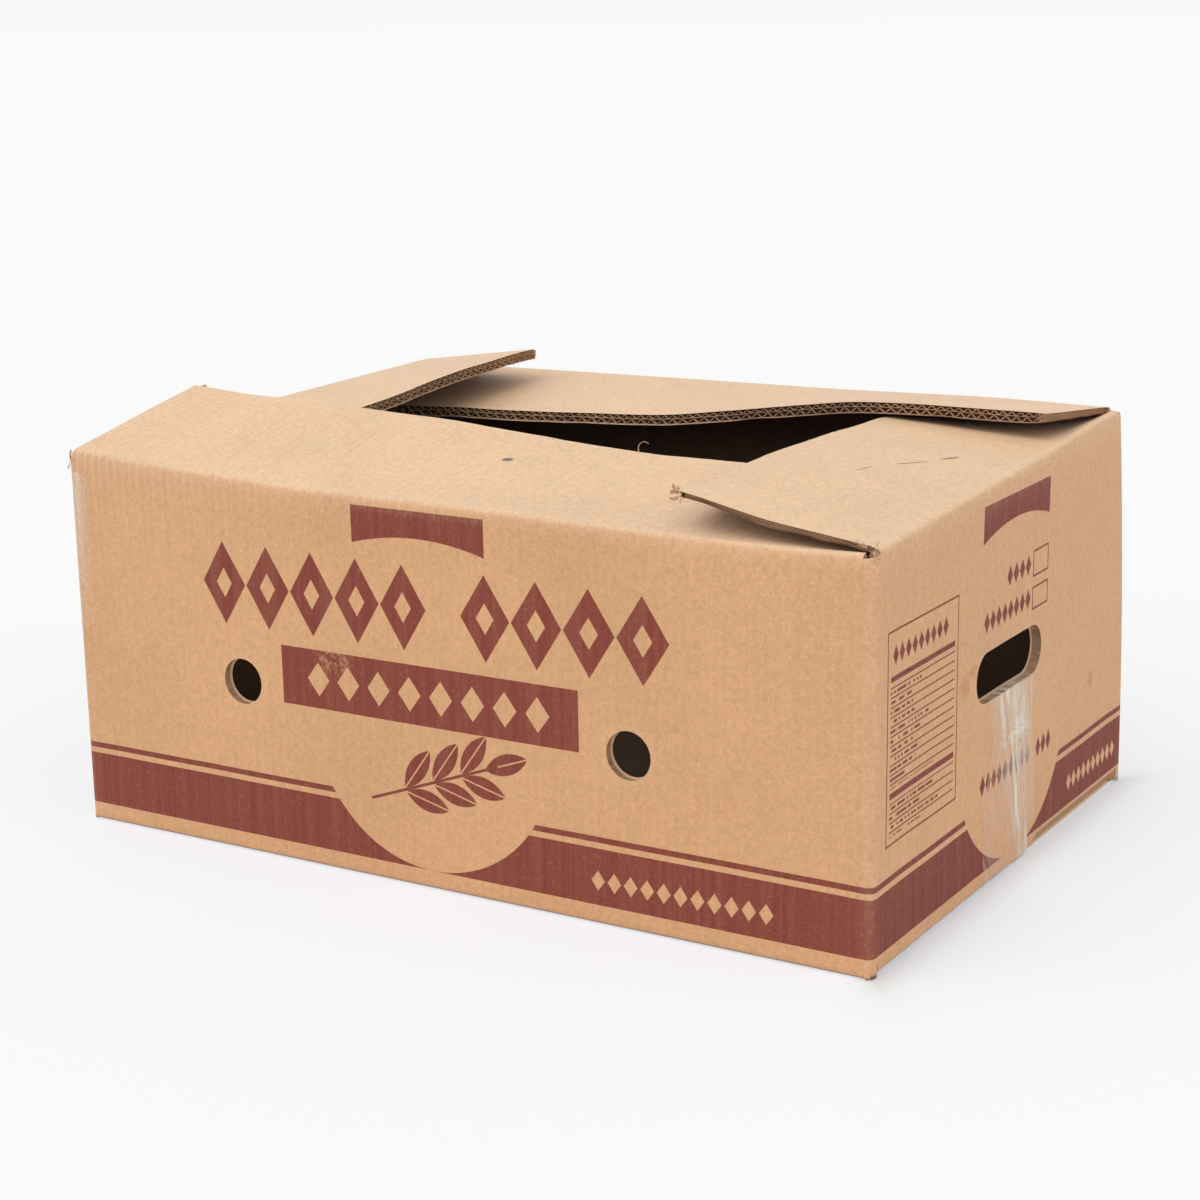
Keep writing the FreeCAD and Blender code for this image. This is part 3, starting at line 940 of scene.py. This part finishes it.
def inkMask(kit, x, y, z, end, outside):
    # where the sheet is printed, on both long walls and both ends
    sideX = x.math("SIGN", x)
    sideY = y.math("SIGN", y)
    longAlong, endAlong = x * sideY * -1, y * sideX
    band = (z - printWork["band"][1]).most(printWork["band"][0] - z)
    stripe = (z - printWork["stripe"][1]).most(printWork["stripe"][0] - z)
    strips = band.least(stripe)
    masks = []
    for key, along in (("long", longAlong), ("end", endAlong)):
        work = printWork[key]
        cx, cz, radius = work["gap"]
        dx, dz = along - cx, z - cz
        circle = (dx * dx + dz * dz).root() - radius
        out = strips.most(-1 * circle)
        for row in work["pale"]:
            if row[3] < printWork["band"][1]:
                out = out.most(-1 * lozengeRow(along, z, row))
        out = out.least(archShape(along, z, work["arch"]))
        for row in work["rows"]:
            out = out.least(lozengeRow(along, z, row))
        if key == "long":
            bar = boxShape(along, z, *work["bar"]).most(-1 * lozengeRow(along, z, work["pale"][0]))
            out = out.least(bar, sprigShape(along, z))
        else:
            for check in work["checks"]:
                out = out.least(abs(boxShape(along, z, *check)) - 0.6)
            out = out.least(tableShape(kit, along, z, work["table"]))
        masks.append(shape(kit, out))
    both = masks[0] + (masks[1] - masks[0]) * end
    return both * outside * (1 - z.above(printWork["top"]))


def ellipse(kit, x, y, middleX, middleY, halfX, halfY, turn=0.0):
    # one at the middle, nought at the rim
    c, s = math.cos(math.radians(turn)), math.sin(math.radians(turn))
    dx, dy = x - middleX, y - middleY
    along, across = (dx * c + dy * s) / halfX, (dy * c - dx * s) / halfY
    return kit.math("SUBTRACT", 1.0, along * along + across * across, clamp=True)


def splitThree(kit, wire, kind):
    parts = kit.tree.nodes.new(kind)
    kit.tree.links.new(wire.socket, parts.inputs[0])
    return [Wire(kit.tree, parts.outputs[k]) for k in range(3)]


def makeKraft():
    material, shader, kit = newMaterial("printed kraft board")
    place = kit.node("ShaderNodeTexCoord", {}, {}, 3)
    x, y, z = (part * 1000 for part in splitThree(kit, place, "ShaderNodeSeparateXYZ"))
    boardNote = kit.node("ShaderNodeAttribute", {"attribute_name": "board"}, {}, 0)
    ribs = Wire(kit.tree, boardNote.socket.node.outputs["Alpha"])
    depth, raw, end = splitThree(kit, boardNote, "ShaderNodeSeparateColor")
    wearNote = kit.node("ShaderNodeAttribute", {"attribute_name": "wear"}, {}, 0)
    fold, corner, cut = splitThree(kit, wearNote, "ShaderNodeSeparateColor")
    end = end.above(0.5)
    opened = raw.above(0.8)
    raw = raw.above(0.3)
    outside = (1 - depth.above(0.1)) * (1 - raw)
    inside = depth.above(0.9) * (1 - raw)
    along = x + (y - x) * end
    flap = Wire(kit.tree, wearNote.socket.node.outputs["Alpha"])

    fibre = kit.noise(place, 330, 6, 0.62)
    coarse = kit.noise(place, 760, 3, 0.7)
    blotch = kit.noise(place, 230, 4, 0.65)
    wide = kit.noise(place, 9, 3, 0.6)
    streak = kit.noise(kit.vector(along, z * 0.012, depth), 0.16, 3, 0.7)
    wave = along * (2 * math.pi / sheet["smallPitch"])
    flute = wave.math("SINE", wave)

    # painted shade on the insides: darker than the outside paper, and darkest low down
    paintedInsideShade = z.fit(15.0, 100.0).blend(kraft["insideShadeLow"], kraft["inside"])
    # the top flaps take the paler top tone, a painted sheen
    paper = inside.blend(flap.blend(kraft["paper"], kraft["top"]), paintedInsideShade)
    paper = fibre.tint(paper, 0.22)
    paper = coarse.tint(paper, 0.24)
    paper = blotch.tint(paper, 0.15)
    paper = wide.tint(paper, 0.12)
    paper = streak.tint(paper, 0.045)
    # painted highlight: faint light stripes along the flutes all over
    paper = (flute * 0.5 + 0.5).tint(paper, 0.012)
    # painted highlight: pale stripes along the flutes near the front left corner, where the flutes show
    # through the paper
    pressed = (1 - x.fit(-250, -90)) * (1 - end) * (1 - y.above(0.0))
    paper = ((flute * 0.5 + 0.5) * ribs * pressed * 0.35).blend(paper, kraft["pale"])
    speck = kit.noise(place, 460, 1, 0.5).fit(0.73, 0.79)
    paper = (speck * 0.3).blend(paper, (0.33, 0.2, 0.11, 1))
    fleck = kit.noise(place, 300, 2, 0.6).fit(0.66, 0.76)
    paper = (fleck * 0.22).blend(paper, kraft["pale"])

    stain = 0.0
    for spot in kraft["stains"]:
        stain = ellipse(kit, y, z, *spot) + stain
    stain = stain * end * outside * blotch.fit(0.32, 0.6) * x.above(0)
    paper = (stain * 1.3).least(0.75).blend(paper, kraft["stain"])

    onFront = (1 - end) * (1 - y.above(0.0))
    smear = ellipse(kit, x, z, *kraft["smear"]) * (blotch + fibre * 0.6).fit(0.74, 0.92) * onFront
    wornInk = 0.98 - (1 - streak.fit(0.3, 0.6)) * kraft["inkWear"] - coarse.fit(0.55, 0.8) * 0.16
    wornInk = wornInk - corner * 0.1 - smear * 0.6 - fibre.fit(0.56, 0.72) * 0.10
    ink = inkMask(kit, x, y, z, end, outside) * wornInk.most(0.1)
    # painted shade: the ink on the end walls is darker
    printed = ink.blend(paper, fibre.tint(end.blend(kraft["ink"], kraft["shadedEndInk"]), 0.16))
    scuff = fibre.fit(0.42, 0.60)
    rub = (fold * 0.55 + corner * (0.4 - ink * 0.3) + cut * 0.3) * (0.35 + scuff * 0.65)
    printed = (rub * 0.5 * (1 - inside)).blend(printed, kraft["pale"])

    crack = ellipse(kit, x, y, *kraft["cracks"][0])
    for line in kraft["cracks"][1:]:
        crack = crack.most(ellipse(kit, x, y, *line))
    crack = crack.fit(0.0, 0.5) * flap * outside
    printed = (crack * fibre.fit(0.35, 0.65) * 0.42).blend(printed, kraft["stain"])
    # painted shade: a dark line along the foot, where the walls meet the floor
    paintedFootShade = (abs(x) - 271).most(abs(y) - 190).fit(0, 1.5) * (1 - (z - end * 1.4).fit(0.5, 2.4))
    printed = (paintedFootShade * (0.55 + streak * 0.6)).least(0.85).blend(printed, kraft["mark"])
    # painted shade in the pin hole, and dark scratch marks on the flaps
    pinHoleShadeAndScratches = ellipse(kit, x, y, *kraft["pinHole"]).fit(0.0, 0.25)
    for line in kraft["scratches"]:
        pinHoleShadeAndScratches = pinHoleShadeAndScratches.most(ellipse(kit, x, y, *line).fit(0.0, 0.4) * (0.55 + scuff * 0.6))
    printed = (pinHoleShadeAndScratches * flap * outside * 0.85).blend(printed, kraft["mark"])

    # the cut edge: pale liners, with darker paper between them that is partly painted shade, and near black
    # painted shade deep in the opened pockets
    layer = depth * board
    grain = kit.noise(kit.vector(along, layer * 0.2, z * 0.1), 0.9, 3)
    lips = (1 - layer.fit(0.55, 0.85)).most(layer.fit(board - 0.85, board - 0.55))
    between = opened.blend(grain.tint(kraft["cut"], 0.7), kraft["raw"])
    cutTone = (lips * (1 - opened)).blend(between, grain.tint(kraft["lip"], 0.35))
    color = raw.blend(printed, cutTone)
    drive(color, shader, "Base Color")

    ribHeight = flute * (0.08 + ribs * (0.3 + pressed * 2.2)) * 0.5
    height = ribHeight * (1 - raw) + fibre * 0.35 + coarse * 0.25 + streak * (0.4 + flap * 1.2) * (1 - raw)
    height = height - pinHoleShadeAndScratches * 0.8 * flap
    drive(bumped(kit, height, 0.00035), shader, "Normal")
    rough = 0.50 + fibre * 0.12 + raw * 0.25 + ink * 0.2
    drive(rough, shader, "Roughness")
    shader.inputs["Specular IOR Level"].default_value = 0.5
    shader.inputs["Sheen Weight"].default_value = kraft["sheen"]
    shader.inputs["Sheen Roughness"].default_value = 0.35
    return material


def makePaperFinish(name, tone):
    material, shader, kit = newMaterial(name)
    place = kit.node("ShaderNodeTexCoord", {}, {}, 3)
    fibre = kit.noise(place, 420, 4, 0.6)
    wide = kit.noise(place, 60, 2)
    color = fibre.tint(wide.tint(tone, 0.45), 0.3)
    drive(color, shader, "Base Color")
    drive(bumped(kit, fibre, 0.0002), shader, "Normal")
    shader.inputs["Roughness"].default_value = 0.85
    return material


film = {
    "white": (0.96, 0.84, 0.69, 1), "clear": 0.04, "body": 0.13, "fold": 0.75, "line": 0.22, "edge": 0.20,
    "middle": (22.0, 0.24), "half": (15.0, 0.13),        # the gathered part: its y and half width at a height
    "crossing": (86.0, 10.0),
    # a painted highlight: a pale streak in the film beside the front left corner
    "paintedGlint": (-268.5, 5.5, 0.55),        # the pale streak beside the corner: its x, half width and strength
}


def ridge(value, width):
    return (1 - abs(value - 0.5) * width).most(0)


def makeTapeFinish():
    material, shader, kit = newMaterial("clear tape")
    place = kit.node("ShaderNodeTexCoord", {}, {}, 3)
    x, y, z = (part * 1000 for part in splitThree(kit, place, "ShaderNodeSeparateXYZ"))
    share = splitThree(kit, kit.node("ShaderNodeUVMap", {"uv_map": "film"}), "ShaderNodeSeparateXYZ")[0]
    middle = film["middle"][0] - z * film["middle"][1]
    half = film["half"][0] + z * film["half"][1]
    gathered = kit.math("SUBTRACT", 1.3, abs(y - middle) / half, clamp=True) * x.above(270.0)
    lean = (y - middle) / half * 20 + x * (1 - x.above(270.0)) * 0.8
    broad = kit.noise(kit.vector(lean, z * 0.035, 1.0), 0.13, 2, 0.5)
    thin = kit.noise(kit.vector(lean, z * 0.02, 5.0), 0.34, 2, 0.6)
    cross = kit.noise(kit.vector(y * 0.2, z + y * 0.35, 8.0), 0.17, 2)
    patches = kit.noise(kit.vector(y, z * 0.35, 3.0), 0.07, 2, 0.6).fit(0.36, 0.66)
    nearCrossing = (1 - abs(z - film["crossing"][0]) / film["crossing"][1]).most(0)
    folds = ridge(broad, 9) * (0.25 + patches * 0.75)
    alpha = gathered * (film["body"] * (0.4 + patches) + folds * film["fold"])
    alpha = alpha + ridge(thin, 14) * film["line"]
    alpha = alpha + ridge(cross, 8) * nearCrossing * gathered * 0.6
    alpha = alpha + abs(share - 0.5).fit(0.478, 0.494) * film["edge"] + film["clear"]
    # a painted highlight in the film beside the front left corner
    spot, reach, strength = film["paintedGlint"]
    paintedGlint = (1 - abs(x - spot) / reach).most(0) * (1 - y.above(-180)) * z.fit(140, 205) * (0.35 + thin)
    drive((alpha + paintedGlint * strength).least(0.88), shader, "Alpha")
    shader.inputs["Base Color"].default_value = film["white"]
    shader.inputs["Roughness"].default_value = 0.22
    shader.inputs["Specular IOR Level"].default_value = 0.4
    drive(bumped(kit, broad + thin * 0.5 + ridge(cross, 8) * nearCrossing * 0.5, 0.0010), shader, "Normal")
    return material


# Camera, light and floor

view = {"place": (0.7715, -1.2762, 0.5086), "yaw": -31.41, "pitch": 14.12, "roll": -0.94, "lens": 72.09}


def makeCamera():
    yaw, pitch, roll = (math.radians(view[k]) for k in ("yaw", "pitch", "roll"))
    ahead = Vector((math.sin(yaw) * math.cos(pitch), math.cos(yaw) * math.cos(pitch), -math.sin(pitch)))
    side = Vector((math.cos(yaw), -math.sin(yaw), 0))
    up = side.cross(ahead)
    turned = side * math.cos(roll) + up * math.sin(roll)
    upright = up * math.cos(roll) - side * math.sin(roll)
    camera = bpy.data.objects.new("camera", bpy.data.cameras.new("camera"))
    bpy.context.scene.collection.objects.link(camera)
    camera.data.lens = view["lens"]
    camera.data.sensor_width = 36.0
    camera.data.sensor_fit = "HORIZONTAL"
    camera.data.clip_end = 100
    turn = Matrix((turned, upright, -ahead)).transposed().to_4x4()
    camera.matrix_world = Matrix.Translation(view["place"]) @ turn
    bpy.context.scene.camera = camera


studio = {
    "world": 0.62, "shown": 0.945,
    "suns": (("key", (-0.35, -0.75, 0.80), 0.95, 70.0), ("fill", (0.90, -0.25, 0.55), 0.60, 80.0)),
    "floor": 0.80, "floorShown": (0.40, 0.38, 0.27, 1), "floorGlow": (0.581, 0.606, 0.705, 1),
    # a painted shadow on the floor beside the right end
    "floorSize": 40.0, "paintedContactShadow": ((0.48, 9.0), (0.05, 35.0)),     # darker beside the right end, and how far
}


def raySeen(kit):
    # where a ray comes from the camera, a reflection or a clear film
    path = kit.tree.nodes.new("ShaderNodeLightPath")
    camera, glossy, through = (Wire(kit.tree, path.outputs[f"Is {kind} Ray"])
                               for kind in ("Camera", "Glossy", "Transmission"))
    return camera.most(glossy, through)


def makeWorld():
    world = bpy.data.worlds.new("studio")
    bpy.context.scene.world = world
    world.use_nodes = True
    tree = world.node_tree
    tree.nodes.clear()
    kit = Wire(tree, None)
    level = studio["world"] + raySeen(kit) * (studio["shown"] - studio["world"])
    out = tree.nodes.new("ShaderNodeOutputWorld")
    glow = kit.node("ShaderNodeBackground", {}, {"Color": (1, 1, 1, 1), "Strength": level})
    tree.links.new(glow.socket, out.inputs[0])


def makeSuns():
    for name, way, energy, size in studio["suns"]:
        sun = bpy.data.objects.new(name, bpy.data.lights.new(name, "SUN"))
        bpy.context.scene.collection.objects.link(sun)
        sun.data.energy = energy
        sun.data.angle = math.radians(size)
        sun.rotation_euler = Vector(way).to_track_quat("Z", "Y").to_euler()


def makeFloor():
    material, shader, kit = newMaterial("floor")
    seen = raySeen(kit)
    place = kit.node("ShaderNodeTexCoord", {}, {}, 3)
    x, y, z = (part * 1000 for part in splitThree(kit, place, "ShaderNodeSeparateXYZ"))
    # painted shadow: the floor is darker beside the right end
    away = (x - 274).most(abs(y) - 191)
    shade = sum((kit.math("EXPONENT", away * (-1 / reach)) * dark for dark, reach in studio["paintedContactShadow"]), 0.0)
    shade = shade.least(0.5) * x.fit(262, 280)
    drive(seen.blend(gray(studio["floor"]), studio["floorShown"]), shader, "Base Color")
    drive(seen.blend(gray(0.0), shade.blend(studio["floorGlow"], gray(0.0))), shader, "Emission Color")
    shader.inputs["Emission Strength"].default_value = 1.0
    shader.inputs["Roughness"].default_value = 1.0
    shader.inputs["Specular IOR Level"].default_value = 0.0
    bm = bmesh.new()
    bmesh.ops.create_circle(bm, cap_ends=True, segments=96, radius=studio["floorSize"])
    mesh = bpy.data.meshes.new("floor")
    bm.to_mesh(mesh)
    bm.free()
    mesh.materials.append(material)
    floor = bpy.data.objects.new("floor", mesh)
    bpy.context.scene.collection.objects.link(floor)


makeCamera()
makeWorld()
makeSuns()
makeFloor()
bpy.context.scene.view_settings.view_transform = "Standard"
print("camera, light and floor are set")
makeCarton(makeKraft())
print("carton folded")
makeFlutes(makePaperFinish("flute paper", (0.61, 0.385, 0.225, 1)))
makeTorn(makePaperFinish("torn paper", (0.62, 0.385, 0.225, 1)))
print("flutes and torn paper in the cut edges")
tapeFinish = makeTapeFinish()
for name in tapes:
    makeTape(name, tapeFinish)
makeCornerTape(tapeFinish)
print("tapes laid")
